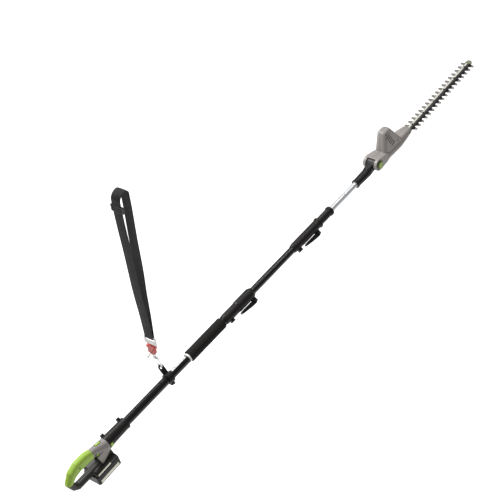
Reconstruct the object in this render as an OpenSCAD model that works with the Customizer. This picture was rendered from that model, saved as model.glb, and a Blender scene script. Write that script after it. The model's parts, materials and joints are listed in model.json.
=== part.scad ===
// Cordless pole hedge trimmer with a D handle, a telescopic pole and a tilting head.
// The pole's axis is the X axis, +X runs from the handle to the blade, +Z is up in use.
// The origin lies on the pole's axis, in the hand opening just under the rear grip.

/* [Pole] */
// Outside diameter of the lower tube
lower_d = 34; // [33:0.5:35]
// Outside diameter of the middle tube
middle_d = 29; // [28:0.5:29.5]
// Outside diameter of the upper tube
upper_d = 24; // [23:0.5:24.5]
// Wall of the three tubes
tube_wall = 1.4; // [1:0.1:1.6]
// Outside diameter of the foam grip
foam_d = 47; // [42:1:52]

/* [Strap] */
// Width of the webbing
web_w = 38; // [25:1:45]
// Thickness of the webbing
web_t = 2.4; // [1.5:0.1:3]
// Radius of the loop's top bend
loop_r = 27; // [24:1:40]
// Height of the loop from its sewn end to its top bend's centre
loop_h = 730; // [720:2:770]
// Lean of the loop sideways, in degrees
loop_lean = 9; // [0:1:12]
// Turn of the loop about its swivel, in degrees
loop_turn = 7; // [0:1:15]

/* [Blade] */
// Teeth on each side of a blade
tooth_count = 18; // [10:1:18]
// Distance from tooth to tooth
tooth_pitch = 25.4; // [22:0.2:26]
// Half width over the tooth tips
tooth_reach = 32; // [28:1:38]
// Half width of the blade between its teeth
web_half = 12; // [10:0.5:14]
// Half of the cutting stroke
half_stroke = 8; // [5:0.5:8]

/* [Head] */
// Upward tilt of the head at rest, in degrees
head_rest = 2.4; // [0:0.2:10]
// Radius of the fork's ears
ear_r = 26; // [24:0.5:28]

/* [Battery] */
// Length of the battery pack
pack_l = 118; // [100:1:120]
// Width of the battery pack
pack_w = 74; // [68:1:80]
// Height of the battery pack
pack_h = 42; // [36:1:42]
// Slope of the battery rails, in degrees
pack_slope = 2; // [1:0.5:4]

/* [Hidden] */
$fn = 48;
lower_r = lower_d / 2;
middle_r = middle_d / 2;
upper_r = upper_d / 2;
run_gap = 0.05;
grip_foot = -12.5;
seat_gap = 0.02;
body_gap = 0.3;

// Stations along the pole
grip_end = 52;
cowl_end = 124;
socket_end = 235;
collar_x = 478;
collar_w = 24;
decal_x0 = 500;
decal_x1 = 580;
band_x0 = 585;
foam_x0 = 595;
foam_x1 = 793;
clamp1_x0 = 802;
clamp1_x1 = 977;
clamp2_x0 = 1233;
clamp2_x1 = 1417;
sleeve_end = 1487;
neck_x0 = 1657;
pivot_x = 1787;
pivot_z = 14;
lower_x0 = 130;
lower_x1 = 832;
middle_x0 = 700;
middle_x1 = 1262;
upper_x0 = 1090;
upper_x1 = 1702;

// Clamps
lever_side = 131;
lever1_pin_z = 33;
lever2_pin_z = 29.5;
lever_pin_r = 2.5;
lever_w = 20;
clamp_bolt_z = 25.5;
lever1_pin_x = 957;
lever2_pin_x = 1370;

// Screws of the D handle: x, z and the depth of the head's seat
screw_spots = [[-19, 26, 14], [-76, -18, 12], [61, 12, 14], [10, -51, 14]];

// Strap hardware
collar_lean = -26;
hook_lean = -14;
eye_reach = 52;
eye_r = 7;
eye_y = eye_reach * sin(-collar_lean);
eye_z = eye_reach * cos(collar_lean);
hook_l = 62;
hook_wire = 2.6;
hook_bend = 9;
gate_pin_z = 40;
swivel_y = eye_y + hook_l * sin(-hook_lean);
swivel_z = eye_z + hook_l * cos(hook_lean);
release_z = swivel_z + 22;
release_h = 38;
pin_drop = -4.2;
link_rise = release_h + 0.2 - pin_drop;
link_h = 40;
strap_rise = link_rise + link_h - 13;
loop_foot = -8;
loop_half = asin(loop_r / (loop_h - loop_foot));
slider_at = 680;

// Head, in its own frame: u forward, y across, w up, pivot at the origin
blade_w = -28;
blade_t = 2.2;
gear_u = 131;
motor_u = 103.5;
gear_teeth = 44;
pinion_teeth = 11;
gear_module = 1;
cam_offset = 8;
cam_r = 10;
tooth_u0 = 268;
blade_end = tooth_u0 + (tooth_count - 1) * tooth_pitch + 8;
bolt_r = 2.5;
bolt_count = 6;
bolt_u0 = 280;
bolt_step = (blade_end - 30 - bolt_u0) / (bolt_count - 1);
swing_lo = 95;
swing_hi = 330;
swing_steps = 12;
guard_u = blade_end - 2;
lip_u = blade_end + half_stroke + 0.8;
head_bores = [[70, 6], [90, 83], [142, 16], [168, -10], [225, -13]];

black = "#191a1b";
tube_black = "#101112";
dark_grey = "#3d4042";
warm_grey = "#8f8c86";
lime = "#a6c94f";
steel = "#c9ccce";

// ---------- helpers ----------

// Lays what is drawn along Z onto the pole's axis, starting at x
module along_x(x) {
    translate([x, 0, 0]) rotate([0, 90, 0]) children();
}

// Ring or tube on the pole's axis
module ring(x0, x1, r_out, r_in) {
    along_x(x0) difference() {
        cylinder(h = x1 - x0, r = r_out);
        translate([0, 0, -1]) cylinder(h = x1 - x0 + 2, r = r_in);
    }
}

// Cylinder across the tool, centred on y
module across(r, h) {
    rotate([90, 0, 0]) cylinder(h = h, r = r, center = true);
}

// Two balls side by side: one rib of a rounded body of half width b
module rib(x, z, r, b) {
    for (side = [-1, 1]) translate([x, side * (b - r), z]) sphere(r = r, $fn = 24);
}

// Rounded bar through a list of ribs [x, z, r, b]
module bar(ribs) {
    for (i = [0:len(ribs) - 2]) hull() {
        rib(ribs[i][0], ribs[i][1], ribs[i][2], ribs[i][3]);
        rib(ribs[i + 1][0], ribs[i + 1][1], ribs[i + 1][2], ribs[i + 1][3]);
    }
}

// The same with a second, higher rib over each: [x, z, r, b, rise]
module tall_bar(ribs) {
    for (i = [0:len(ribs) - 2]) hull() for (r = [ribs[i], ribs[i + 1]]) {
        rib(r[0], r[1], r[2], r[3]);
        rib(r[0], r[1] + r[4], r[2], r[3]);
    }
}

// Flat outline in the side view, with half thickness t about the middle
module side_plate(points, t) {
    rotate([90, 0, 0]) linear_extrude(height = 2 * t, center = true) polygon(points);
}

// One side of the tool: -1 is right, 1 is left
module half(side) {
    intersection() {
        children();
        translate([-200, side < 0 ? -201 : 0.02, -200]) cube([2400, 200.98, 500]);
    }
}

// Frame of the battery rails
module on_rails() {
    translate([75, 0, -79]) rotate([0, -pack_slope, 0]) children();
}

// Frame of a lever clamp: the lever lies on local +Z
module on_clamp(x) {
    translate([x, 0, 0]) rotate([lever_side, 0, 0]) children();
}

// Frame of the head
module on_head() {
    translate([pivot_x, 0, pivot_z]) rotate([0, -head_rest, 0]) children();
}

// Frame of what turns on the swivel
module on_swivel() {
    translate([collar_x, swivel_y, swivel_z]) rotate([0, 0, loop_turn]) children();
}

// Frame of the release, which leans on its pin: the pin is at the origin
module on_release() {
    on_swivel() translate([0, 0, release_z + pin_drop - swivel_z]) rotate([loop_lean, 0, 0]) children();
}

// Frame of the shoulder strap above its link
module on_strap() {
    on_release() translate([0, 0, strap_rise]) children();
}

// ---------- D handle ----------

module handle_bores() {
    for (s = screw_spots) translate([s[0], 0, s[1]]) {
        across(1.6, 60);
        translate([0, -s[2] - 10, 0]) across(3.4, 20);
        translate([0, s[2] + 10, 0]) across(3.4, 20);
    }
}

module grip_form() {
    difference() {
        tall_bar([[58, 12.5, 16, 16.5, 8], [22, 17, 17, 17, 14], [-20, 18, 17, 17, 13],
            [-52, 10, 16.5, 16.5, 9], [-75, -11, 14.5, 15.5, 2]]);
        bar([[70, 12.5, 12.5, 13], [22, 18.5, 13.5, 13.5], [-14, 19.5, 13, 13]]);
        translate([-120, -40, grip_foot - 50]) cube([80, 80, 50]);
        translate([grip_end, -40, -40]) cube([40, 80, 90]);
        translate([20, -6.5, -10]) cube([40, 13, 30]);
        handle_bores();
    }
}

module grip_shell_right() {
    color(lime) half(-1) grip_form();
}

module grip_shell_left() {
    color(lime) half(1) grip_form();
}

module battery_slots() {
    for (side = [-1, 1]) on_rails() {
        translate([-52, side > 0 ? 21 : -25.6, 20]) cube([120, 4.6, 11]);
        translate([-52, side > 0 ? 21 : -31, 25.6]) cube([120, 10, 5.4]);
    }
}

module frame_form() {
    difference() {
        union() {
            difference() {
                bar([[-75, -9, 14.5, 15.5], [-63, -40, 13, 15.5], [-46, -51.5, 13.5, 16],
                    [66, -51.5, 13.5, 16.5]]);
                translate([-120, -40, grip_foot - seat_gap]) cube([100, 80, 60]);
            }
            side_plate([[58, -50], [66, -41], [78, -28], [80, 1.5], [cowl_end - 3, 1.5],
                [cowl_end + 2, -21.5], [130, -42], [130, -52]], 18.7);
            on_rails() hull() for (y = [-1, 1]) {
                translate([-50, y * 33.5, 21.5]) cylinder(h = 10, r = 3, $fn = 24);
                translate([52, y * 33.5, 21.5]) cylinder(h = 10, r = 3, $fn = 24);
                translate([-42, y * 28, 21.5]) cylinder(h = 15.5, r = 3, $fn = 24);
                translate([48, y * 28, 21.5]) cylinder(h = 15.5, r = 3, $fn = 24);
            }
        }
        for (side = [-1, 1]) on_rails() translate([-48, side * 36.5 - 1, 22.5]) cube([66, 2, 8.4]);
        translate([82, -15, -34]) cube([34, 30, 30]);
        on_rails() translate([-26, -16, 12]) cube([58, 32, 14]);
        on_rails() translate([-64, -50, -14]) cube([150, 100, 35.5]);
        battery_slots();
        handle_bores();
        along_x(118) cylinder(h = 30, r = 26.9);
    }
}

module frame_shell_right() {
    color(dark_grey) half(-1) frame_form();
}

module frame_shell_left() {
    color(dark_grey) half(1) frame_form();
}

// Light grey housing between the grip and the pole, with its side fins
module cowl_form() {
    difference() {
        union() {
            hull() {
                rib(62, 12, 16, 16.5);
                rib(62, 20, 16, 16.5);
                along_x(cowl_end - 14) cylinder(h = 14, r = 25);
            }
            side_plate([[60, 2], [70, -42], [77, -42], [cowl_end + 2, -13],
                [cowl_end + 2, 2]], 23);
        }
        translate([0, -60, -60]) cube([grip_end + 0.1, 120, 120]);
        translate([cowl_end, -60, -60]) cube([40, 120, 120]);
        translate([40, -18.8, -60]) cube([100, 37.6, 61.7]);
        translate([55, -9, 0]) cube([66, 18, 20]);
        translate([50, -6.5, -12]) cube([12, 13, 24]);
        translate([79.5, -4.9, 10]) cube([29, 9.8, 40]);
        on_rails() translate([-52, -37, 0]) cube([108, 74, 37.2]);
        translate([56, 0, 3]) across(1.6, 24);
        handle_bores();
        translate([68, 0, 6]) across(5.7, 60);
    }
}

module cowl_right() {
    color(warm_grey) half(-1) cowl_form();
}

module cowl_left() {
    color(warm_grey) half(1) cowl_form();
}

module handle_screws() {
    color(black) for (s = screw_spots) translate([s[0], 0, s[1]]) {
        translate([0, -s[2] / 2 + 4, 0]) across(1.55, s[2] + 8.2);
        difference() {
            translate([0, -s[2] - 1.2, 0]) across(3.1, 2.2);
            translate([0, -s[2] - 1, 0]) rotate([90, 0, 0]) cylinder(h = 4, r = 1.4, $fn = 6);
        }
    }
    color(black) for (x = [136, 222]) socket_lug(x) {
        translate([0, 0, 29]) rotate([90, 0, 0]) cylinder(h = 12, r = 1.9, center = true);
        translate([0, -7.2, 29]) rotate([90, 0, 0]) cylinder(h = 2.4, r = 3.4, center = true);
        translate([0, 7.2, 29]) rotate([90, 0, 0]) cylinder(h = 2.4, r = 3.6, center = true, $fn = 6);
    }
}

module lime_trim() {
    color(lime) {
        difference() {
            ring(cowl_end + 4, cowl_end + 15, 26.6, 25.05);
            translate([100, -5, -50]) cube([60, 60, 100]);
            translate([100, -50, 6]) cube([60, 60, 100]);
        }
        for (side = [-1, 1]) translate([68, side * 15.6, 6]) across(5.6, 4.4);
    }
}

module socket_lug(x) {
    translate([x, 0, 0]) rotate([-48, 0, 0]) children();
}

module pole_socket() {
    color(black) difference() {
        union() {
            along_x(cowl_end + 0.2) cylinder(h = 20, r = 25);
            along_x(cowl_end + 20) cylinder(h = socket_end - cowl_end - 20, r1 = 24.6, r2 = 22.2);
            along_x(socket_end - 8) cylinder(h = 8, r = 23.6);
            for (x = [136, 222]) socket_lug(x) translate([-6.5, -6, 15]) cube([13, 12, 18.5]);
        }
        along_x(lower_x0) cylinder(h = 200, r = lower_r + seat_gap);
        along_x(cowl_end - 1) cylinder(h = 20, r = 11);
        for (x = [136, 222]) socket_lug(x) translate([0, 0, 29]) rotate([90, 0, 0])
            cylinder(h = 14, r = 2, center = true);
    }
}

module trigger_switch() {
    color("#2b2d30") {
        translate([24, -6, 17]) cube([24, 12, 9]);
        translate([30, -2, 15.2]) cube([4, 4, 1.8]);
    }
}

module terminal_block() {
    color("#1c1c1e") on_rails() {
        difference() {
            translate([-25, -15, 21.6]) cube([50, 30, 4]);
            for (y = [-9, 0, 9]) translate([-26, y - 1.5, 20]) cube([40, 3, 3]);
        }
    }
}

module controller_board() {
    color("#1d5b34") translate([83, -13, -30]) cube([32, 26, 1.6]);
    color("#2a2a2c") for (i = [0:2]) translate([84 + 10 * i, -6, -28.4]) cube([8, 12, 5]);
}

// Trigger that pivots at its front end
module trigger() {
    color(black) difference() {
        union() {
            side_plate([[27, 5], [28, -1.5], [32, -4.8], [42, -5], [50, -2.5], [56, -1],
                [59, 3], [56, 7.5], [40, 8], [30, 8.1]], 5.8);
        }
        translate([56, 0, 3]) across(1.6, 20);
    }
    color(steel) translate([56, 0, 3]) across(1.55, 23);
}

module trigger_spring() {
    color(steel) translate([38, 0, 8.6]) difference() {
        cylinder(h = 7.8, r = 3);
        translate([0, 0, -1]) cylinder(h = 10, r = 2.2);
    }
}

module lock_off_button() {
    color(lime) {
        hull() {
            translate([80, -4.5, 13]) cube([28, 9, 10]);
            translate([84, -3.5, 31.5]) cube([7, 7, 1.8]);
            translate([97, -3.5, 28.8]) cube([7, 7, 1.2]);
        }
        translate([76, -7.5, 12]) cube([36, 15, 2]);
    }
}

// ---------- battery ----------

module battery_case() {
    color(black) on_rails() difference() {
        union() {
            hull() for (x = [-1, 1], y = [-1, 1]) {
                translate([x * (pack_l / 2 - 7), y * (pack_w / 2 - 7), -pack_h / 2 + 3])
                    cylinder(h = pack_h - 6, r = 7, $fn = 24);
                translate([x * (pack_l / 2 - 9), y * (pack_w / 2 - 9), -pack_h / 2])
                    cylinder(h = pack_h, r = 7, $fn = 24);
            }
            for (side = [-1, 1]) {
                translate([-50, side * 23.3 - 1.8, 20]) cube([98, 3.6, 10]);
                translate([-50, side > 0 ? 22 : -30, 26]) cube([98, 8, 4]);
            }
        }
        for (side = [-1, 1])
            translate([-48, side * (pack_w / 2 + 0.8) - 2, -15]) cube([96, 4, 14]);
        translate([-pack_l / 2 + 8, -31, -17]) cube([pack_l - 16, 62, 34]);
        translate([pack_l / 2 - 6, -12.5, 2]) cube([7, 25, 9]);
    }
}

module battery_panels() {
    color("#ece9d2") on_rails() for (side = [-1, 1])
        translate([-47.7, side * (pack_w / 2 - 0.2) - 0.9, -14.7]) cube([95.4, 1.8, 13.4]);
}

// Pale strips on the sides of the battery's platform
module platform_panels() {
    color("#ece9d2") on_rails() for (side = [-1, 1])
        translate([-47.8, side * 36.35 - 0.75, 22.7]) cube([65.6, 1.5, 8]);
}

module battery_cells() {
    color("#3f7fae") on_rails() for (i = [0:4], j = [0:1])
        translate([-38 + 19 * i, j == 0 ? -15.5 : 15.5, 0]) cylinder(h = 30, r = 9.2, center = true);
}

module battery_latch() {
    color(dark_grey) on_rails() {
        translate([pack_l / 2 - 3.4, -12, 2.5]) cube([6.6, 24, 8]);
        for (i = [0:2]) translate([pack_l / 2 + 2.8, -9, 4 + 2 * i]) cube([1, 18, 0.9]);
    }
}

// ---------- pole ----------

module lower_tube() {
    color(tube_black) ring(lower_x0, lower_x1, lower_r, lower_r - tube_wall);
}

module middle_tube() {
    color(tube_black) ring(middle_x0, middle_x1, middle_r, middle_r - tube_wall);
}

module upper_tube() {
    color("#dfe1e2") ring(upper_x0, upper_x1, upper_r, upper_r - tube_wall);
}

// Coiled part of the lead to the motor, at rest in the lower tube
module coiled_lead() {
    color(black) ring(lower_x0 + 20, 560, 9.6, 4.5);
}

module inner_lead() {
    color(black) along_x(560) cylinder(h = 1150, r = 3);
}

module decal_strip() {
    color("#d9dcdd") intersection() {
        ring(decal_x0, decal_x1, lower_r + 0.15, lower_r);
        translate([decal_x0 - 1, -5, 0]) cube([100, 14, 30]);
    }
}

module grip_band() {
    color("#f1f1ef") ring(band_x0, band_x0 + 8, lower_r + 1.2, lower_r + seat_gap);
}

module foam_grip() {
    color(black) along_x(foam_x0) rotate_extrude() polygon([
        [lower_r + seat_gap, 0], [foam_d / 2 - 3, 0], [foam_d / 2 - 1, 1], [foam_d / 2, 3.5],
        [foam_d / 2, foam_x1 - foam_x0 - 3.5], [foam_d / 2 - 1, foam_x1 - foam_x0 - 1],
        [foam_d / 2 - 3, foam_x1 - foam_x0], [lower_r + seat_gap, foam_x1 - foam_x0]]);
}

module lower_bush() {
    color("#2c2d2f") ring(752, lower_x1 - 0.2, lower_r - tube_wall - seat_gap, middle_r + run_gap);
}

module upper_bush() {
    color("#2c2d2f") ring(1196, middle_x1 - 0.2, middle_r - tube_wall - seat_gap, upper_r + run_gap);
}

// Ears for the lever's pin and the block for the tension bolt, for both clamps
module clamp_lugs(pin_x, pin_z, bolt_x, root) {
    on_clamp(pin_x) difference() {
        for (y = [-10.5, 6.8]) translate([-8, y, root]) cube([16, 3.7, pin_z + 6 - root]);
        translate([0, 0, pin_z]) across(lever_pin_r + seat_gap, 40);
    }
    on_clamp(bolt_x) difference() {
        translate([-8, -9, root]) cube([16, 18, 30 - root]);
        translate([0, 0, clamp_bolt_z]) across(2.2, 40);
    }
}

module clamp_hardware(pin_x, pin_z, bolt_x) {
    color(steel) on_clamp(pin_x) translate([0, 0, pin_z]) {
        across(lever_pin_r, 22.6);
        for (y = [-11.8, 11.8]) translate([0, y, 0]) across(4, 1.6);
    }
    color("#3a3b3d") on_clamp(bolt_x) translate([0, 0, clamp_bolt_z]) {
        across(2.1, 22);
        translate([0, -11, 0]) across(4, 3.6);
        translate([0, 11, 0]) rotate([90, 0, 0]) cylinder(h = 3.6, r = 4.4, center = true, $fn = 6);
    }
}

module lower_clamp_body() {
    color(black) {
        difference() {
            union() {
                along_x(clamp1_x0) cylinder(h = 12, r1 = 19.5, r2 = 21.2);
                along_x(clamp1_x0 + 12) cylinder(h = 66, r = 21.2);
                along_x(clamp1_x0 + 78) cylinder(h = 6, r1 = 21.2, r2 = 23);
                along_x(clamp1_x0 + 84) cylinder(h = 78, r = 23);
                along_x(clamp1_x1 - 13) cylinder(h = 13, r1 = 23, r2 = 17.5);
            }
            along_x(clamp1_x0 - 1) cylinder(h = lower_x1 - clamp1_x0 + 1.2, r = lower_r + seat_gap);
            along_x(lower_x1) cylinder(h = 160, r = middle_r + run_gap);
            on_clamp(clamp1_x1 - 62) translate([0, -1.2, 5]) cube([90, 2.4, 40]);
        }
        difference() {
            clamp_lugs(lever1_pin_x, lever1_pin_z, clamp1_x0 + 28, 18.5);
            along_x(clamp1_x0 + 14) cylinder(h = 60, r = 21.15);
            along_x(clamp1_x0 + 90) cylinder(h = 70, r = 22.95);
        }
    }
}

module lower_clamp_hardware() {
    clamp_hardware(lever1_pin_x, lever1_pin_z, clamp1_x0 + 28);
}

module upper_clamp_body() {
    color(black) {
        difference() {
            union() {
                along_x(clamp2_x0) cylinder(h = 16, r1 = 16.3, r2 = 19.5);
                along_x(clamp2_x0 + 16) cylinder(h = 152, r = 19.5);
                along_x(clamp2_x1 - 16) cylinder(h = 7, r = 22.6);
                along_x(clamp2_x1 - 9) cylinder(h = sleeve_end - clamp2_x1, r = 16.2);
                for (i = [0:5]) along_x(clamp2_x1 + 2 + 9 * i) cylinder(h = 4.5, r = 17.4);
                along_x(sleeve_end - 11) cylinder(h = 11, r1 = 20.6, r2 = 19.6);
            }
            along_x(clamp2_x0 - 1) cylinder(h = middle_x1 - clamp2_x0 + 1.2, r = middle_r + seat_gap);
            along_x(middle_x1) cylinder(h = 300, r = upper_r + run_gap);
            on_clamp(clamp2_x1 - 80) translate([0, -1, 5]) cube([62, 2, 40]);
        }
        difference() {
            clamp_lugs(lever2_pin_x, lever2_pin_z, clamp2_x0 + 26, 16.5);
            along_x(clamp2_x0 + 17) cylinder(h = 150, r = 19.45);
        }
    }
}

module upper_clamp_hardware() {
    clamp_hardware(lever2_pin_x, lever2_pin_z, clamp2_x0 + 26);
}

// Flip lever, drawn about its pin and reaching back along the pole
module clamp_lever() {
    difference() {
        union() {
            across(7, 12.8);
            side_plate([[-16, -4], [-2, -5], [6, 3], [3, 8.5], [-6, 10], [-16, 9.5]], 6.4);
            side_plate([[-12, -3], [-16, -8.5], [-70, -8.5], [-77, -7], [-80, -3.5], [-79, 0],
                [-74, 2.5], [-40, 7], [-18, 9.6], [-12, 8.6]], lever_w / 2);
        }
        across(lever_pin_r + run_gap, 40);
    }
}

module lower_clamp_lever() {
    color(black) on_clamp(lever1_pin_x) translate([0, 0, lever1_pin_z]) clamp_lever();
}

module upper_clamp_lever() {
    color(black) on_clamp(lever2_pin_x) translate([0, 0, lever2_pin_z]) clamp_lever();
}

// ---------- strap hardware ----------

module on_collar() {
    translate([collar_x, 0, 0]) rotate([collar_lean, 0, 0]) children();
}

module strap_collar() {
    color(black) difference() {
        union() {
            along_x(collar_x - collar_w / 2) cylinder(h = collar_w, r = 22.5);
            on_collar() {
                translate([-11, -4, 15]) cube([22, 8, eye_reach - 15]);
                translate([0, 0, eye_reach]) across(11, 8);
                translate([-8, -7, -30.5]) cube([16, 14, 13]);
            }
        }
        along_x(collar_x - 30) cylinder(h = 60, r = lower_r + body_gap);
        on_collar() {
            translate([0, 0, eye_reach]) across(eye_r, 20);
            translate([0, 0, -26.5]) across(2.2, 30);
            translate([-20, -1, -42]) cube([40, 2, 26]);
        }
    }
}

module collar_bolt() {
    color("#3a3b3d") on_collar() translate([0, 0, -26.5]) {
        across(2.1, 18);
        translate([0, -8.8, 0]) across(3.9, 3.2);
        translate([0, 8.8, 0]) rotate([90, 0, 0]) cylinder(h = 3.2, r = 4.2, center = true, $fn = 6);
    }
}

module on_hook() {
    translate([collar_x, eye_y, eye_z]) rotate([hook_lean, 0, 0]) children();
}

// Snap hook: its bend goes through the collar's eye, its open side is on local +Y
module snap_hook() {
    color(steel) on_hook() {
        translate([0, 0, hook_bend]) rotate([0, 90, 0]) rotate([0, 0, -90])
            rotate_extrude(angle = 180) translate([hook_bend, 0]) circle(r = hook_wire);
        translate([0, -hook_bend, hook_bend - 0.01]) cylinder(h = 32, r = hook_wire);
        translate([0, hook_bend, hook_bend - 0.01]) cylinder(h = 5, r = hook_wire);
        difference() {
            translate([-4, -hook_bend - 3, 38]) cube([8, 2 * hook_bend + 6, 9]);
            translate([-2.2, 5, 37]) cube([4.4, 10, 6.4]);
            translate([0, hook_bend, gate_pin_z]) rotate([0, 90, 0])
                cylinder(h = 20, r = 1.05, center = true);
        }
        translate([0, hook_bend, gate_pin_z]) rotate([0, 90, 0]) cylinder(h = 8.6, r = 1, center = true);
    }
    color(steel) difference() {
        union() {
            on_hook() translate([0, 0, 46.9]) cylinder(h = 5, r1 = 6.5, r2 = 5);
            translate([collar_x, swivel_y, swivel_z - 9.5]) sphere(r = 6.3);
        }
        translate([collar_x, swivel_y, swivel_z - 14]) cylinder(h = 20, r = 2.5 + run_gap);
    }
}

module hook_gate() {
    color(steel) on_hook() difference() {
        union() {
            translate([0, hook_bend, hook_bend + 5.4]) cylinder(h = 23.8, r = 1.9);
            translate([0, hook_bend, gate_pin_z]) rotate([0, 90, 0])
                cylinder(h = 3.6, r = 2.4, center = true);
        }
        translate([0, hook_bend, gate_pin_z]) rotate([0, 90, 0])
            cylinder(h = 8, r = 1.05, center = true);
    }
}

module swivel_eye() {
    color(steel) on_swivel() {
        translate([0, 0, -13.8]) cylinder(h = 12, r = 2.5);
        translate([0, 0, -3]) cylinder(h = 9, r = 7);
        translate([0, 0, 14]) rotate([0, 90, 0]) rotate_extrude() translate([9, 0]) circle(r = 2.4);
        translate([0, 0, 5]) cylinder(h = 3, r = 3.4);
    }
}

module release_body() {
    color("#c8392f") on_release() translate([0, 0, -pin_drop]) difference() {
        union() {
            translate([-7, -15, -10]) cube([14, 30, release_h + 4]);
            translate([0, 0, release_h - 6]) rotate([0, 90, 0])
                cylinder(h = 14, r = 6, center = true);
            translate([-7, -20, release_h - 20]) cube([14, 40, 11]);
        }
        translate([-3.2, -12.4, -12]) cube([6.4, 24.8, 17]);
        translate([0, 0, pin_drop]) rotate([0, 90, 0]) cylinder(h = 60, r = 2.3, center = true);
    }
}

module release_pin() {
    color(steel) on_release() {
        translate([-34, 0, 0]) rotate([0, 90, 0]) cylinder(h = 44, r = 2.25);
        translate([-34, 0, 0]) rotate([0, 90, 0]) cylinder(h = 3, r = 5);
    }
}

module strap_link() {
    color("#e9ebe8") on_release() translate([0, 0, link_rise]) difference() {
        hull() for (y = [-20, 20], z = [6, link_h - 6]) translate([0, y, z]) rotate([0, 90, 0])
            cylinder(h = 5, r = 6, center = true, $fn = 24);
        translate([-5, -20.5, link_h - 22]) cube([10, 41, 16]);
        translate([-5, -14, 6]) cube([10, 28, 6]);
    }
}

// Filled drop shape: a round top on two straight sides that meet at the foot
module drop(r, foot) {
    turn = asin(r / (loop_h - foot));
    polygon([[0, foot], [r * cos(turn), loop_h - r * sin(turn)],
        [-r * cos(turn), loop_h - r * sin(turn)]]);
    translate([0, loop_h]) circle(r = r, $fn = 96);
}

module shoulder_strap() {
    color(black) on_strap() difference() {
        rotate([90, 0, 0]) linear_extrude(height = web_w, center = true) difference() {
            drop(loop_r, loop_foot);
            drop(loop_r - web_t, loop_foot + web_t / sin(loop_half));
        }
        translate([-10, -30, -20]) cube([20, 60, 36]);
    }
    color(black) on_strap() difference() {
        translate([-2.8 - web_t, -web_w / 2, 4 - web_t]) cube([5.6 + 2 * web_t, web_w, 16 + web_t]);
        translate([-2.8, -web_w, 4]) cube([5.6, 2 * web_w, 12.2]);
    }
}

// Tri-glide buckle on the rear strand
module strap_slider() {
    color(black) on_strap() rotate([0, -loop_half, 0]) translate([web_t / 3, 0, slider_at])
        difference() {
            translate([-3.5, -25, 0]) cube([7, 50, 30]);
            translate([-1.7, -20.5, -1]) cube([3.4, 41, 32]);
            translate([-5, -19.5, 5]) cube([10, 39, 8]);
            translate([-5, -19.5, 17]) cube([10, 39, 8]);
        }
}

// ---------- neck and head ----------

module neck() {
    color(black) difference() {
        union() {
            along_x(neck_x0) cylinder(h = 88, r1 = 17.2, r2 = 19.4);
            along_x(neck_x0) cylinder(h = 8, r = 18.6);
            hull() {
                along_x(neck_x0 + 76) cylinder(h = 6, r = 19.2, $fn = 32);
                translate([pivot_x - 8, 0, pivot_z - 2]) across(15, 34);
            }
            translate([pivot_x, 0, pivot_z]) across(20, 39.2);
        }
        along_x(neck_x0 - 1) cylinder(h = upper_x1 - neck_x0 + 1, r = upper_r + seat_gap);
        along_x(upper_x1 - 1) cylinder(h = 40, r = 5);
        translate([pivot_x, 0, pivot_z]) across(6.05, 60);
    }
}

// Sector that the neck needs while the head tilts
module swing_space() {
    across(21, 40.6);
    side_plate([[0, 0], for (i = [0:swing_steps])
        let (a = swing_lo + (swing_hi - swing_lo) * i / swing_steps) [60 * cos(a), 60 * sin(a)]], 20.3);
}

module head_form() {
    difference() {
        union() {
            hull() {
                rib(96, 76, 20, 25);
                rib(114, 76, 19, 24.5);
                rib(62, 0, 13, 29);
                rib(160, -4, 14, 31);
            }
            bar([[52, -11, 22, 33], [150, -14, 23, 36], [200, -15, 19, 31], [236, -18, 14.5, 24]]);
            hull() {
                across(ear_r, 68);
                translate([52, 0, -8]) across(20, 62);
            }
        }
        swing_space();
        across(6.02, 100);
        translate([0, -36.25, 0]) across(19.4, 15.5);
        translate([0, 38, 0]) across(12, 12);
        translate([motor_u, 0, 14]) cylinder(h = 62, r = 20.4);
        translate([motor_u, 0, -2]) cylinder(h = 20, r = 12);
        translate([gear_u, 0, -21.5]) cylinder(h = 18, r = 25);
        translate([motor_u, 0, -21.5]) cylinder(h = 25, r = 9);
        translate([gear_u, 0, -24.5]) cylinder(h = 6, r = 18);
        translate([gear_u - 43.5, -21.8, -31.3]) cube([87, 43.6, 7.2]);
        translate([gear_u + 20, -15, -31.3]) cube([120, 30, 10]);
        translate([gear_u, 0, -8]) cylinder(h = 13, r = 5.05);
        for (b = head_bores) translate([b[0], 0, b[1]]) {
            across(1.6, 40);
            for (side = [-1, 1]) translate([0, side * 30, 0]) across(3.2, 24);
        }
        for (i = [0:4], y = [-40, 16]) translate([84 + 4 * i, y, 66 - 12 * i])
            rotate([0, -16, 0]) cube([24, 24, 5]);
    }
}

module head_shell_right() {
    color(warm_grey) half(-1) on_head() head_form();
}

module head_shell_left() {
    color(warm_grey) half(1) on_head() head_form();
}

module head_screws() {
    color(black) on_head() for (b = head_bores) translate([b[0], 0, b[1]]) {
        translate([0, -5, 0]) across(1.55, 26.4);
        translate([0, -19.4, 0]) difference() {
            across(2.9, 2.6);
            rotate([90, 0, 0]) cylinder(h = 4, r = 1.3, $fn = 6);
        }
    }
}

module motor_can() {
    color("#8d9297") on_head() difference() {
        translate([motor_u, 0, 14.5]) union() {
            cylinder(h = 56, r = 18.5);
            translate([0, 0, 56]) cylinder(h = 4, r = 6);
        }
        translate([motor_u, 0, 10]) cylinder(h = 52, r = 3.05);
    }
}

// Spur gear outline, with straight-sided teeth
module gear_outline(teeth, phase) {
    r = gear_module * teeth / 2;
    step = 360 / teeth;
    polygon([for (i = [0:teeth - 1]) for (k = [[-0.30, -1.2], [-0.13, 0.85], [0.13, 0.85],
        [0.30, -1.2]]) let (a = phase + step * (i + k[0]))
        (r + k[1] * gear_module) * [cos(a), sin(a)]]);
}

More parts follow.
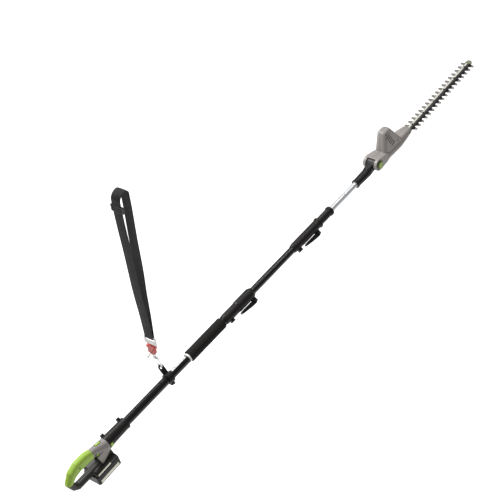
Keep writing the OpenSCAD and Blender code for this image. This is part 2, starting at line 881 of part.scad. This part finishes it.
module motor_pinion() {
    color(steel) on_head() translate([motor_u, 0, 0]) {
        translate([0, 0, -13]) linear_extrude(height = 9)
            gear_outline(pinion_teeth, 180 / pinion_teeth);
        translate([0, 0, -4.1]) cylinder(h = 64, r = 3);
    }
}

module drive_gear() {
    color("#b9a36a") on_head() translate([gear_u, 0, 0]) {
        translate([0, 0, -12.5]) linear_extrude(height = 8) gear_outline(gear_teeth, 180);
        translate([0, 0, -8]) cylinder(h = 12, r = 5);
        translate([0, 0, -24.5]) cylinder(h = 12.2, r = 10);
        translate([cam_offset, 0, blade_w]) cylinder(h = 3.6, r = cam_r);
        translate([-cam_offset, 0, blade_w - 2.6]) cylinder(h = 2.6, r = cam_r);
    }
}

module pivot_pin() {
    color(steel) on_head() {
        translate([0, 0.6, 0]) across(6, 63.2);
        translate([0, 33.3, 0]) across(11.4, 2.4);
    }
}

module pivot_button() {
    color("#7d9a2c") on_head() difference() {
        union() {
            translate([0, -35.6, 0]) across(17, 5.2);
            translate([0, -38.6, 0]) rotate([90, 0, 0]) cylinder(h = 2.4, r1 = 17, r2 = 13, center = true);
            translate([0, -33.4, 0]) across(18.9, 1.2);
        }
        translate([0, -33, 0]) across(7, 4.2);
    }
}

// ---------- cutter ----------

// Places where the blade bolts go
module at_bolts() {
    for (i = [0:bolt_count - 1]) translate([bolt_u0 + bolt_step * i, 0, 0]) children();
}

// One blade: a tail frame round its cam, a long web and its teeth
module blade_outline() {
    difference() {
        union() {
            translate([gear_u - 34, -21]) square([68, 42]);
            translate([gear_u + 33, -web_half]) square([blade_end - gear_u - 33, 2 * web_half]);
            for (i = [0:tooth_count - 1], turn = [0, 180])
                translate([tooth_u0 + tooth_pitch * i, 0]) rotate(turn) polygon([
                    [8, web_half - 1], [3.6, tooth_reach - 1.2], [2.2, tooth_reach],
                    [-2.2, tooth_reach], [-3.6, tooth_reach - 1.2], [-8, web_half - 1]]);
        }
        translate([gear_u - 26.5, -18.4]) square([53, 36.8]);
        at_bolts() {
            translate([-half_stroke, -bolt_r - 0.3]) square([2 * half_stroke, 2 * bolt_r + 0.6]);
            for (x = [-half_stroke, half_stroke]) translate([x, 0]) circle(r = bolt_r + 0.3);
        }
    }
}

module upper_blade() {
    color(steel) on_head() translate([0, 0, blade_w + 0.1]) linear_extrude(height = blade_t)
        blade_outline();
}

module lower_blade() {
    color("#a9adb0") on_head() translate([0, 0, blade_w - blade_t - 0.1])
        linear_extrude(height = blade_t) blade_outline();
}

// Ridged support bar on top of the blades
module blade_bar() {
    color("#e4e5e3") on_head() difference() {
        translate([gear_u + 24, 0, blade_w + blade_t + 0.3]) rotate([90, 0, 90])
            linear_extrude(height = guard_u + 4 - gear_u - 24)
                polygon([[-10, 0], [10, 0], [10, 1.6], [5, 3.6], [-2, 3.8], [-10, 1.8]]);
        at_bolts() translate([0, 0, blade_w]) cylinder(h = 20, r = bolt_r + seat_gap);
    }
}

module blade_bolts() {
    color("#6d7073") on_head() at_bolts() {
        translate([0, 0, blade_w - 3]) cylinder(h = 9.5, r = bolt_r);
        translate([0, 0, blade_w + 6.4]) cylinder(h = 2, r = 4.2, $fn = 6);
        translate([0, 0, blade_w - 4.5]) cylinder(h = 1.8, r = 4.6);
    }
}

module tip_guard() {
    color("#6f7463") on_head() difference() {
        hull() for (y = [-10, 10]) {
            translate([guard_u + 2, y, blade_w - 4.5]) cylinder(h = 12, r = 4, $fn = 32);
            translate([guard_u + 13, y / 2, blade_w - 4.5]) cylinder(h = 12, r = 5, $fn = 32);
        }
        translate([guard_u - 8, -10.1, blade_w + blade_t + 0.25]) cube([12.2, 20.2, 4]);
        translate([guard_u - 8, -20, blade_w - 9]) cube([lip_u - guard_u + 8, 40, 9 + blade_t + 0.35]);
    }
}

frame_shell_right();
frame_shell_left();
grip_shell_right();
grip_shell_left();
cowl_right();
cowl_left();
handle_screws();
pole_socket();
lime_trim();
trigger_switch();
terminal_block();
controller_board();
lower_tube();
coiled_lead();
decal_strip();
grip_band();
foam_grip();
lower_clamp_body();
lower_clamp_hardware();
lower_bush();
trigger();
trigger_spring();
lock_off_button();
battery_case();
battery_panels();
platform_panels();
battery_cells();
battery_latch();
strap_collar();
collar_bolt();
snap_hook();
hook_gate();
swivel_eye();
release_body();
strap_link();
shoulder_strap();
release_pin();
strap_slider();
middle_tube();
upper_clamp_body();
upper_clamp_hardware();
upper_bush();
lower_clamp_lever();
upper_clamp_lever();
upper_tube();
neck();
inner_lead();
head_shell_right();
head_shell_left();
head_screws();
motor_can();
pivot_pin();
pivot_button();
motor_pinion();
drive_gear();
blade_bar();
blade_bolts();
tip_guard();
upper_blade();
lower_blade();
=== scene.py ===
import json
import math

import bpy
from mathutils import Matrix, Vector, noise


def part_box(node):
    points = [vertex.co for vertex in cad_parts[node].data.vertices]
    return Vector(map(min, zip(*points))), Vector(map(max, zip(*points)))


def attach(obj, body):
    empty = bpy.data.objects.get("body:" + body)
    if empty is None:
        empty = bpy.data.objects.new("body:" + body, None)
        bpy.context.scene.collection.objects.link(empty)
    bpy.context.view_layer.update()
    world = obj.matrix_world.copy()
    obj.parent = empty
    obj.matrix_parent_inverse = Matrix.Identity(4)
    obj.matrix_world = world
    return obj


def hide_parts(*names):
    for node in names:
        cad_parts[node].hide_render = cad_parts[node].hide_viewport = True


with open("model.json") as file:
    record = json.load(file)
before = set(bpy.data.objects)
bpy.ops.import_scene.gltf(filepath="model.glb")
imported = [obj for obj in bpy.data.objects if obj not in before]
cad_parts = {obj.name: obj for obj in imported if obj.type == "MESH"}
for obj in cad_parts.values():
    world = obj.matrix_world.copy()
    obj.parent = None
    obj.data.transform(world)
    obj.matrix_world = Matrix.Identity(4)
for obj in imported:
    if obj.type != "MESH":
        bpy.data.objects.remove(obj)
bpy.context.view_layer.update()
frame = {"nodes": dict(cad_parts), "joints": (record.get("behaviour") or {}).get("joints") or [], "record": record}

nodes = frame["nodes"]
record = frame["record"]
slot_of = {part["node"]: part["material_slot"] for part in record["subparts"]}
joints = {joint["name"]: joint for joint in frame["joints"]}
MM = 0.001

# ---------------------------------------------------------------- camera, floor and light

# The camera stands the three shifts to the right of, above and behind START, a point at the handle's rear.
RIGHT, BACK = Vector((0.62, -0.75, -0.216)), Vector((-0.481, -0.58, 0.651))
START = Vector((-0.075, 0, 0))
SHIFT_RIGHT, SHIFT_UP, SHIFT_BACK = 0.643, 0.813, 5.51
LENS, SENSOR_W = 113, 36
CLIP_NEAR, CLIP_FAR = 0.1, 200
ROLL_CENTRE, ROLL = Vector((0.68, 0, 0)), math.radians(0.49)

FLOOR_Z, FLOOR_REACH = -0.75, 60
FLOOR_COLOR, FLOOR_GLOW = (0.93, 0.93, 0.93), 0.12
SKY_STRENGTH = 0.2
# Place, target, size in metres, watts
LIGHTS = {
    "key": ((0.4, 2.6, 4.2), (1.2, 0, 0), (3.0, 1.2), 360),
    "side": ((-0.6, -3.4, 2.0), (1.0, 0, 0), (2.4, 1.0), 14),
    "tip": ((4.4, 0.8, 3.2), (2.2, 0, 0), (1.8, 1.8), 25),
    "strip": ((3.2, 0.6, 3.6), (1.2, 0, 0), (5.0, 0.25), 45),
}


def make_camera():
    """A long lens from the right rear, above the tool, rolled as the photographer's was."""
    back = BACK.normalized()
    right = (RIGHT - RIGHT.project(back)).normalized()
    up = back.cross(right)
    data = bpy.data.cameras.new("camera")
    data.lens, data.sensor_width = LENS, SENSOR_W
    data.clip_start, data.clip_end = CLIP_NEAR, CLIP_FAR
    camera = bpy.data.objects.new("camera", data)
    place = START + SHIFT_RIGHT * right + SHIFT_UP * up + SHIFT_BACK * back
    roll = Matrix.Rotation(ROLL, 3, (ROLL_CENTRE - place).normalized())
    right, up, back = roll @ right, roll @ up, roll @ back
    camera.matrix_world = Matrix.Translation(place) @ Matrix((right, up, back)).transposed().to_4x4()
    bpy.context.scene.collection.objects.link(camera)
    bpy.context.scene.camera = camera


def make_floor():
    mesh = bpy.data.meshes.new("floor")
    corners = [(-1, -1), (1, -1), (1, 1), (-1, 1)]
    mesh.from_pydata([(FLOOR_REACH * x, FLOOR_REACH * y, FLOOR_Z) for x, y in corners], [], [(0, 1, 2, 3)])
    floor = bpy.data.objects.new("floor", mesh)
    bpy.context.scene.collection.objects.link(floor)
    mesh.materials.append(finish("floor", FLOOR_COLOR, 0.9, spread=0.01, cloud=1.5, grain=40, depth=0.0,
                                 Emission_Color=(1, 1, 1, 1), Emission_Strength=FLOOR_GLOW))


def area_light(name, place, target, size, power):
    data = bpy.data.lights.new(name, "AREA")
    data.shape, data.size, data.size_y = "RECTANGLE", size[0], size[1]
    data.energy = power
    lamp = bpy.data.objects.new(name, data)
    lamp.location = place
    lamp.rotation_mode = "QUATERNION"
    lamp.rotation_quaternion = (Vector(place) - Vector(target)).to_track_quat("Z", "Y")
    bpy.context.scene.collection.objects.link(lamp)


def make_lights():
    world = bpy.data.worlds.new("studio")
    bpy.context.scene.world = world
    world.use_nodes = True
    sky = world.node_tree.nodes["Background"]
    sky.inputs["Color"].default_value = (1, 1, 1, 1)
    sky.inputs["Strength"].default_value = SKY_STRENGTH
    for name, (place, target, size, power) in LIGHTS.items():
        area_light(name, place, target, size, power)
    bpy.context.scene.view_settings.view_transform = "Standard"


# ---------------------------------------------------------------- materials

# Pointiness from plain skin to worn edge
WORN_LOW, WORN_HIGH = 0.52, 0.60
# Webbing: width and slope of the herringbone, pitch of its ribs and of its lengthwise threads, in metres
HERRING_W, HERRING_SLOPE, RIB_PITCH, WARP_PITCH = 0.0048, 0.9, 0.0017, 0.0012
INK = (0.09, 0.09, 0.11, 1)
# Steel colours, and the near-black of the painted shade laid on the near half of the bar and blades
BAR_STEEL, BLADE_STEEL, SHADE_BLACK = (0.62, 0.60, 0.54), (0.24, 0.22, 0.20), (0.009, 0.008, 0.0075, 1)
# The y where the blades' painted shade ends, and the blades' metalness
BLADE_SHADE_Y, BLADE_METAL = -0.024, 0.6
BUTTON_EDGE = 0.0112


def node(tree, kind, settings=None, **inputs):
    """A shader node. Inputs are values or sockets, by name with _ for a space, or by place as i0, i1."""
    made = tree.nodes.new("ShaderNode" + kind)
    for key, value in (settings or {}).items():
        setattr(made, key, value)
    for key, value in inputs.items():
        by_place = key[0] == "i" and key[1:].isdigit()
        socket = made.inputs[int(key[1:]) if by_place else key.replace("_", " ")]
        if isinstance(value, bpy.types.NodeSocket):
            tree.links.new(value, socket)
        else:
            socket.default_value = value
    return made


def shade(color, share):
    return tuple(min(1.0, channel * share) for channel in color[:3]) + (1,)


def blank(name):
    material = bpy.data.materials.new(name)
    material.use_nodes = True
    tree = material.node_tree
    tree.nodes.clear()
    return material, tree


def mix(tree, factor, a, b):
    made = node(tree, "Mix", {"data_type": "RGBA"}, i0=factor, i6=a, i7=b)
    return made.outputs[2]


def maths(tree, operation, a, b=0.0):
    return node(tree, "Math", {"operation": operation}, i0=a, i1=b).outputs[0]


def span(tree, value, low, high):
    """value, from 0 to 1, spread over low to high."""
    return node(tree, "MapRange", None, Value=value, To_Min=low, To_Max=high).outputs[0]


def ramp(tree, value, low, high):
    """0 below low and 1 above high."""
    return node(tree, "MapRange", None, Value=value, From_Min=low, From_Max=high).outputs[0]


def shader(tree, color, rough, normal=None, **sockets):
    made = node(tree, "BsdfPrincipled", None, Base_Color=color, Roughness=rough, **sockets)
    if normal is not None:
        tree.links.new(normal, made.inputs["Normal"])
    out = tree.nodes.new("ShaderNodeOutputMaterial")
    tree.links.new(made.outputs[0], out.inputs[0])


def place_of(tree, stretch=(1, 1, 1)):
    where = node(tree, "TexCoord").outputs["Object"]
    return node(tree, "Mapping", None, Vector=where, Scale=stretch).outputs[0]


def finish(name, color, rough, spread=0.12, cloud=14.0, grain=1400.0, depth=0.00005, metal=0.0,
           stretch=(1, 1, 1), wear=0.0, rough_spread=0.08, **sockets):
    """Moulded, painted or metal surface: slow drift of colour and gloss, fine grain, and paler worn edges."""
    material, tree = blank(name)
    where = place_of(tree)
    slow = node(tree, "TexNoise", None, Vector=where, Scale=cloud, Detail=4.0, Roughness=0.6).outputs[0]
    fine = node(tree, "TexNoise", None, Vector=place_of(tree, stretch), Scale=grain, Detail=3.0).outputs[0]
    tone = mix(tree, ramp(tree, slow, 0.3, 0.7), shade(color, 1 - spread), shade(color, 1 + spread))
    tone = mix(tree, span(tree, fine, 0, 0.35), tone, shade(color, 1 - 1.5 * spread))
    if wear:
        edge = ramp(tree, node(tree, "NewGeometry").outputs["Pointiness"], WORN_LOW, WORN_HIGH)
        tone = mix(tree, maths(tree, "MULTIPLY", edge, wear), tone, shade(color, 1.9))
    gloss = maths(tree, "ADD", span(tree, slow, rough - rough_spread, rough + rough_spread),
                  span(tree, fine, -0.04, 0.04))
    bump = None
    if depth:
        bump = node(tree, "Bump", None, Height=fine, Distance=depth, Strength=1.0).outputs[0]
    shader(tree, tone, gloss, bump, Metallic=metal, **sockets)
    return material


def weave_finish(name, color):
    """Herringbone webbing. The piece's UV map holds metres across and along the strap."""
    material, tree = blank(name)
    uv = node(tree, "UVMap", {"uv_map": "cut"}).outputs[0]
    split = node(tree, "SeparateXYZ", None, Vector=uv)
    across, along = split.outputs[0], split.outputs[1]

    def wave(value, pitch):
        return maths(tree, "SINE", maths(tree, "MULTIPLY", value, 2 * math.pi / pitch))

    fold = maths(tree, "PINGPONG", across, HERRING_W)
    slant = maths(tree, "ADD", maths(tree, "MULTIPLY", fold, HERRING_SLOPE), along)
    ribs, warp = wave(slant, RIB_PITCH), wave(across, WARP_PITCH)
    cloth = maths(tree, "ADD", maths(tree, "MULTIPLY", ribs, 0.5), maths(tree, "MULTIPLY", warp, 0.22))
    fuzz = node(tree, "TexNoise", None, Vector=place_of(tree), Scale=2600.0, Detail=2.0).outputs[0]
    height = maths(tree, "ADD", cloth, maths(tree, "MULTIPLY", fuzz, 0.35))
    slow = node(tree, "TexNoise", None, Vector=place_of(tree), Scale=22.0, Detail=3.0).outputs[0]
    # Colour follows the weave's height: painted shade in the grooves, painted highlight on the ribs
    tone = mix(tree, ramp(tree, height, -0.5, 0.9), shade(color, 0.45), shade(color, 1.5))
    tone = mix(tree, ramp(tree, slow, 0.4, 0.7), tone, shade(color, 1.2))
    bump = node(tree, "Bump", None, Height=height, Distance=0.00018, Strength=0.9).outputs[0]
    shader(tree, tone, span(tree, slow, 0.62, 0.78), bump, Sheen_Weight=0.06, Sheen_Roughness=0.5,
           Specular_IOR_Level=0.25)
    return material


def foam_finish(name, color):
    """Closed-cell foam: small pale pits in a rough dark skin."""
    material, tree = blank(name)
    where = place_of(tree)
    cells = node(tree, "TexVoronoi", {"feature": "F1"}, Vector=where, Scale=900.0).outputs["Distance"]
    skin = node(tree, "TexNoise", None, Vector=where, Scale=260.0, Detail=5.0).outputs[0]
    slow = node(tree, "TexNoise", None, Vector=where, Scale=18.0, Detail=3.0).outputs[0]
    height = maths(tree, "ADD", cells, skin)
    tone = mix(tree, ramp(tree, cells, 0.15, 0.6), shade(color, 1.6), shade(color, 0.7))
    tone = mix(tree, ramp(tree, slow, 0.35, 0.7), tone, shade(color, 1.15))
    bump = node(tree, "Bump", None, Height=height, Distance=0.0003, Strength=0.8).outputs[0]
    shader(tree, tone, span(tree, skin, 0.78, 0.95), bump, Sheen_Weight=0.03, Sheen_Roughness=0.6,
           Specular_IOR_Level=0.2)
    return material


def decal_finish(name, color):
    """Printed film: plain bars of uneven length on a pale ground."""
    material, tree = blank(name)
    where = place_of(tree)
    bars = node(tree, "TexBrick", {"offset": 0.37, "squash": 1.6, "squash_frequency": 3}, Vector=where,
                Color1=(0, 0, 0, 1), Color2=(1, 1, 1, 1), Mortar=(1, 1, 1, 1), Scale=150.0, Mortar_Size=0.09,
                Bias=-0.1, Brick_Width=0.62, Row_Height=0.55).outputs[0]
    grain = node(tree, "TexNoise", None, Vector=where, Scale=700.0, Detail=2.0).outputs[0]
    tone = mix(tree, ramp(tree, bars, 0.25, 0.45), INK, shade(color, 1))
    tone = mix(tree, span(tree, grain, 0, 0.12), tone, shade(color, 0.6))
    bump = node(tree, "Bump", None, Height=grain, Distance=0.00002, Strength=0.6).outputs[0]
    shader(tree, tone, span(tree, grain, 0.28, 0.4), bump)
    return material


def bar_finish(name, color, outer=-0.1, metal=0.35):
    """Ground steel, with painted shade: near-black on the near half out to the given y."""
    material, tree = blank(name)
    where = place_of(tree)
    y = node(tree, "SeparateXYZ", None, Vector=where).outputs[1]
    drawn = place_of(tree, (1, 50, 50))
    lines = node(tree, "TexNoise", None, Vector=drawn, Scale=60.0, Detail=4.0).outputs[0]
    slow = node(tree, "TexNoise", None, Vector=where, Scale=30.0, Detail=3.0).outputs[0]
    unshaded_half = ramp(tree, y, -0.0006, -0.0002)
    steel = mix(tree, ramp(tree, lines, 0.35, 0.65), shade(color, 0.85), shade(color, 1.1))
    tip = ramp(tree, y, outer + 0.003, outer)
    # Painted shade: near-black on the near half; steel on the far half and on the teeth beyond outer
    tone = mix(tree, maths(tree, "MAXIMUM", unshaded_half, tip), SHADE_BLACK, steel)
    bump = node(tree, "Bump", None, Height=lines, Distance=0.00004, Strength=0.8).outputs[0]
    shader(tree, tone, span(tree, slow, 0.3, 0.42), bump, Metallic=metal)
    return material


def button_finish(name, color):
    """Dark ring round a brighter middle, about the head's pivot."""
    material, tree = blank(name)
    pivot = joints["head_tilt"]["pos_m"]
    flat = place_of(tree, (1, 0, 1))
    centre = (pivot[0], 0, pivot[2])
    reach = node(tree, "VectorMath", {"operation": "DISTANCE"}, i0=flat, i1=centre).outputs["Value"]
    grain = node(tree, "TexNoise", None, Vector=place_of(tree), Scale=900.0, Detail=3.0).outputs[0]
    ring = ramp(tree, reach, BUTTON_EDGE, BUTTON_EDGE + 0.001)
    tone = mix(tree, ring, shade(color, 1.3), shade(color, 0.25))
    tone = mix(tree, span(tree, grain, 0, 0.3), tone, shade(color, 0.6))
    bump = node(tree, "Bump", None, Height=grain, Distance=0.00003, Strength=1.0).outputs[0]
    shader(tree, tone, span(tree, grain, 0.28, 0.4), bump)
    return material


LOOKS = {
    "lime_plastic": dict(rough=0.42, spread=0.07, depth=0.00006, wear=0.25),
    "grey_plastic": dict(rough=0.45, spread=0.06, depth=0.00008, wear=0.3),
    "dark_plastic": dict(rough=0.48, spread=0.12, depth=0.00009, wear=0.35, Specular_IOR_Level=0.3),
    "black_plastic": dict(rough=0.40, spread=0.15, depth=0.00007, wear=0.4, Specular_IOR_Level=0.25),
    "black_tube": dict(rough=0.22, spread=0.12, grain=500.0, depth=0.00002, rough_spread=0.04,
                       Specular_IOR_Level=0.4),
    "bare_tube": dict(rough=0.35, spread=0.05, grain=60.0, depth=0.00002, metal=0.5, stretch=(0.5, 40, 40)),
    "hook_steel": dict(rough=0.22, spread=0.06, grain=300.0, depth=0.00003, metal=1.0, wear=0.2),
    "screw_steel": dict(rough=0.34, spread=0.15, grain=900.0, depth=0.00003, metal=1.0, wear=0.5),
    "blade_steel": dict(rough=0.33, spread=0.14, grain=50.0, depth=0.00005, metal=0.85,
                        stretch=(40, 1.5, 40)),
    "red_plastic": dict(rough=0.3, spread=0.08, depth=0.00003, wear=0.2),
    "white_plastic": dict(rough=0.3, spread=0.04, depth=0.00003),
    "panel_plastic": dict(rough=0.28, spread=0.04, depth=0.00003),
    "guard_plastic": dict(rough=0.5, spread=0.12, depth=0.00008, wear=0.3),
    "motor_metal": dict(rough=0.4, spread=0.1, grain=400.0, depth=0.00004, metal=0.9),
    "gear_metal": dict(rough=0.4, spread=0.15, grain=700.0, depth=0.00005, metal=0.9, wear=0.3),
    "board_green": dict(rough=0.35, spread=0.2, grain=500.0, depth=0.00004),
    "cell_wrap": dict(rough=0.3, spread=0.1, grain=300.0, depth=0.00003),
    "rubber_lead": dict(rough=0.6, spread=0.15, grain=1100.0, depth=0.00006),
}
SPECIAL = {"button_green": button_finish, "webbing": weave_finish, "foam": foam_finish, "decal": decal_finish}


def make_materials():
    made = {}
    for entry in record["materials"]:
        slot, color = entry["slot"], entry["base_color"]
        made[slot] = SPECIAL[slot](slot, color) if slot in SPECIAL else finish(slot, color, **LOOKS[slot])
    return made


def paint(piece, material):
    if not piece.material_slots:
        piece.data.materials.append(material)
    for entry in piece.material_slots:
        entry.material = material


# ---------------------------------------------------------------- CAD nodes: eased edges

# Voxel in mm, rounds of smoothing
MOULDED = {
    "grip_shell_right": (0.9, 5), "grip_shell_left": (0.9, 5), "frame_shell_right": (0.9, 6),
    "frame_shell_left": (0.9, 6), "cowl_right": (0.8, 5), "cowl_left": (0.8, 5), "pole_socket": (0.8, 3),
    "lower_clamp_body": (0.8, 3), "upper_clamp_body": (0.8, 3), "lower_clamp_lever": (0.6, 4),
    "upper_clamp_lever": (0.6, 4), "strap_collar": (0.6, 3), "head_shell_right": (0.9, 6),
    "head_shell_left": (0.9, 6), "neck": (0.8, 4), "tip_guard": (0.5, 3), "trigger": (0.6, 4),
    "lock_off_button": (0.5, 4), "battery_case": (0.9, 3), "battery_panels": (0.5, 2),
    "platform_panels": (0.5, 2), "battery_latch": (0.5, 2),
    "release_body": (0.6, 4), "strap_link": (0.5, 4), "strap_slider": (0.5, 3), "pivot_button": (0.5, 2),
    "snap_hook": (0.4, 3), "swivel_eye": (0.4, 3), "hook_gate": (0.35, 2),
}


def mould(name, voxel, rounds):
    """Real moulded parts have no knife edges: the skin is remade finely and its edges are eased."""
    skin = nodes[name].modifiers.new("skin", "REMESH")
    skin.mode, skin.voxel_size, skin.use_smooth_shade = "VOXEL", voxel * MM, True
    ease = nodes[name].modifiers.new("ease", "SMOOTH")
    ease.factor, ease.iterations = 0.5, rounds


def bevel(name, width):
    """Turned and stamped parts keep their faces and get a narrow bevel."""
    weld = nodes[name].modifiers.new("weld", "WELD")
    weld.merge_threshold = 0.00001
    edge = nodes[name].modifiers.new("edge", "BEVEL")
    edge.width, edge.segments, edge.limit_method, edge.angle_limit = width * MM, 2, "ANGLE", math.radians(35)
    flat = nodes[name].modifiers.new("flat", "WEIGHTED_NORMAL")
    flat.keep_sharp = True


# Width in mm
BEVELLED = {
    "lower_tube": 0.3, "middle_tube": 0.3, "upper_tube": 0.3, "grip_band": 0.3, "handle_screws": 0.25,
    "lower_clamp_hardware": 0.3, "upper_clamp_hardware": 0.3, "collar_bolt": 0.3, "head_screws": 0.2,
    "pivot_pin": 0.4, "release_pin": 0.3, "blade_bolts": 0.3, "blade_bar": 0.25, "upper_blade": 0.25,
    "lower_blade": 0.25, "lime_trim": 0.25,
}

# ---------------------------------------------------------------- pieces made here

def piece_from(name, points, faces, slot, body):
    """A smooth piece in its slot's material, riding on the body."""
    mesh = bpy.data.meshes.new(name)
    mesh.from_pydata([tuple(p) for p in points], [], faces)
    mesh.validate()
    mesh.polygons.foreach_set("use_smooth", [True] * len(mesh.polygons))
    made = bpy.data.objects.new(name, mesh)
    bpy.context.scene.collection.objects.link(made)
    mesh.materials.append(materials[slot])
    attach(made, body)
    return made


# Foam, in metres: gap to the CAD skin, bore, flat lip and rounding at each end
FOAM_GAP, FOAM_BORE, FOAM_LIP, FOAM_CROWN = 0.0002, 0.0171, 0.0015, 0.0035
FOAM_AROUND, FOAM_RINGS, CROWN_STEPS = 96, 150, 8
# Dents, as a share of the radius, and how many to the metre
BIG_DENT, BIG_RATE, SMALL_DENT, SMALL_RATE = 0.012, 45, 0.004, 300


def foam_grip():
    """Foam sleeve with crowned ends and a slightly uneven skin."""
    lo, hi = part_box("foam_grip")
    outer = hi.y - FOAM_GAP
    length = hi.x - lo.x
    lathe = [(0.0, FOAM_BORE), (0.0, FOAM_BORE + FOAM_LIP)]
    for i in range(CROWN_STEPS + 1):
        turn = math.pi / 2 * i / CROWN_STEPS
        lathe.append((FOAM_CROWN * (1 - math.cos(turn)), outer - FOAM_CROWN * (1 - math.sin(turn))))
    middle = [(FOAM_CROWN + (length - 2 * FOAM_CROWN) * i / FOAM_RINGS, outer) for i in range(1, FOAM_RINGS)]
    profile = lathe + middle + [(length - x, r) for x, r in reversed(lathe)]
    points, faces = [], []
    for x, r in profile:
        for j in range(FOAM_AROUND):
            turn = 2 * math.pi * j / FOAM_AROUND
            spot = Vector((lo.x + x, r * math.cos(turn), r * math.sin(turn)))
            if r > FOAM_BORE + 2 * FOAM_LIP:
                spot.yz *= (1 + BIG_DENT * noise.noise(spot * BIG_RATE)
                            + SMALL_DENT * noise.noise(spot * SMALL_RATE))
            points.append(spot)
    count = len(profile)
    for i in range(count):
        ring, next_ring = i * FOAM_AROUND, (i + 1) % count * FOAM_AROUND
        for j in range(FOAM_AROUND):
            beside = (j + 1) % FOAM_AROUND
            faces.append((ring + j, next_ring + j, next_ring + beside, ring + beside))
    grip = piece_from("foam_sleeve", points, faces, "foam", "handle")
    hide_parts("foam_grip")


# Webbing: as in part.scad, in metres
WEB_W, WEB_T, LOOP_R, LOOP_H, LOOP_FOOT = 0.038, 0.0024, 0.027, 0.730, -0.008
LOOP_LEAN, LOOP_TURN = math.radians(9), math.radians(7)
PIN_RISE, STRAP_RISE = 0.0178, 0.0694
# The link's bar, the height where the two sides part, and the ends of the sewn overlap
BAR_Z, BAR_R, BAR_SAG, PART_Z, SEWN_Z = 0.0100, 0.0030, 1.3, 0.022, (0.0145, 0.0205)
# How far the sides bow out, and their ripples: height and number of half waves
SIDE_BOW, RISING, FALLING = 0.0035, (0.0012, 5), (-0.001, 4)
SIDE_STEPS, TOP_STEPS, BAR_STEPS = 150, 48, 16
# Edges: roundness of the selvedge, points over the flat, sway of the line and curl across it
SELVEDGE, SELVEDGE_STEPS, ACROSS = 0.9, 6, (0.72, 0.4, 0.1, -0.1, -0.4, -0.72)
SWAY, SWAY_RATE, CURL = 0.0006, 9, 0.0004


def strap_frame():
    """The loop's place: turned about the swivel, then leaned about the release pin."""
    swivel = Matrix.Translation(joints["strap_swivel"]["pos_m"]) @ Matrix.Rotation(LOOP_TURN, 4, "Z")
    pin = swivel @ Matrix.Translation((0, 0, PIN_RISE)) @ Matrix.Rotation(LOOP_LEAN, 4, "X")
    return pin @ Matrix.Translation((0, 0, STRAP_RISE))


def strap_path():
    """Centre line of the webbing in the loop's plane, as (x, z): up one side, over the top and back down,
    round the link's bar and up again to the sewn overlap."""
    half = math.asin(LOOP_R / (LOOP_H - LOOP_FOOT))
    mid = LOOP_R - WEB_T / 2
    bar_r = BAR_R + WEB_T / 2
    side_x, side_z = mid * math.cos(half), LOOP_H - mid * math.sin(half)

    def on_side(t, ripple):
        height, waves = ripple
        bow = SIDE_BOW * math.sin(math.pi * t) + height * math.sin(waves * math.pi * t)
        return bar_r + (side_x - bar_r) * t + bow, PART_Z + (side_z - PART_Z) * t

    line = [on_side(i / SIDE_STEPS, RISING) for i in range(SIDE_STEPS + 1)]
    for i in range(1, TOP_STEPS):
        turn = -half + (math.pi + 2 * half) * i / TOP_STEPS
        line.append((mid * math.cos(turn), LOOP_H + mid * math.sin(turn)))
    for i in range(SIDE_STEPS + 1):
        x, z = on_side(1 - i / SIDE_STEPS, FALLING)
        line.append((-x, z))
    for i in range(1, BAR_STEPS):
        turn = math.pi + math.pi * i / BAR_STEPS
        line.append((bar_r * math.cos(turn), BAR_Z + bar_r * math.sin(turn) * BAR_SAG))
    return line + [(bar_r, z) for z in SEWN_Z]


def shoulder_strap():
    """One closed band of webbing with rounded selvedges and a little play in its edges."""
    place = strap_frame()
    line = strap_path()
    count = len(line)
    edge = WEB_T / 2
    flat = WEB_W / 2 - edge * SELVEDGE
    right = []
    for i in range(SELVEDGE_STEPS + 1):
        turn = math.pi / 2 - math.pi * i / SELVEDGE_STEPS
        right.append((flat + edge * SELVEDGE * math.cos(turn), edge * math.sin(turn)))
    across = [flat * share for share in ACROSS]
    low = [(y, -edge * SELVEDGE) for y in across]
    left = [(-y, h) for y, h in reversed(right)]
    high = [(y, edge * SELVEDGE) for y in reversed(across)]
    loop = right + low + left + high
    points, faces, cuts = [], [], []
    travelled = 0.0
    for i, (x, z) in enumerate(line):
        before, after = line[i - 1], line[(i + 1) % count]
        step = Vector((after[0] - before[0], after[1] - before[1])).normalized()
        out = Vector((step.y, -step.x))
        if i:
            travelled += (Vector(line[i]) - Vector(line[i - 1])).length
        sway = SWAY * noise.noise(Vector((travelled * SWAY_RATE, 0, 0)))
        for y, h in loop:
            curl = CURL * math.cos(2 * math.pi * y / WEB_W)
            spot = Vector((x + out.x * (h + curl), y + sway, z + out.y * (h + curl)))
            points.append(place @ spot)
            cuts.append((y, travelled))
    size = len(loop)
    for i in range(count - 1):
        for j in range(size):
            a, b = i * size + j, i * size + (j + 1) % size
            faces.append((a, b, b + size, a + size))
    faces.append(tuple(range(size))[::-1])
    faces.append(tuple((count - 1) * size + j for j in range(size)))
    strap = piece_from("webbing_loop", points, faces, "webbing", "strap")
    chart = strap.data.uv_layers.new(name="cut")
    for corner in strap.data.loops:
        chart.data[corner.index].uv = cuts[corner.vertex_index]
    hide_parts("shoulder_strap")


# ---------------------------------------------------------------- the scene

make_camera()
make_lights()
make_floor()
materials = make_materials()
for name, piece in nodes.items():
    paint(piece, materials[slot_of[name]])
paint(nodes["blade_bar"], bar_finish("blade_bar", BAR_STEEL))
for name in ("upper_blade", "lower_blade"):
    paint(nodes[name], bar_finish(name, BLADE_STEEL, outer=BLADE_SHADE_Y, metal=BLADE_METAL))
for name, (voxel, rounds) in MOULDED.items():
    mould(name, voxel, rounds)
for name, width in BEVELLED.items():
    bevel(name, width)
foam_grip()
shoulder_strap()
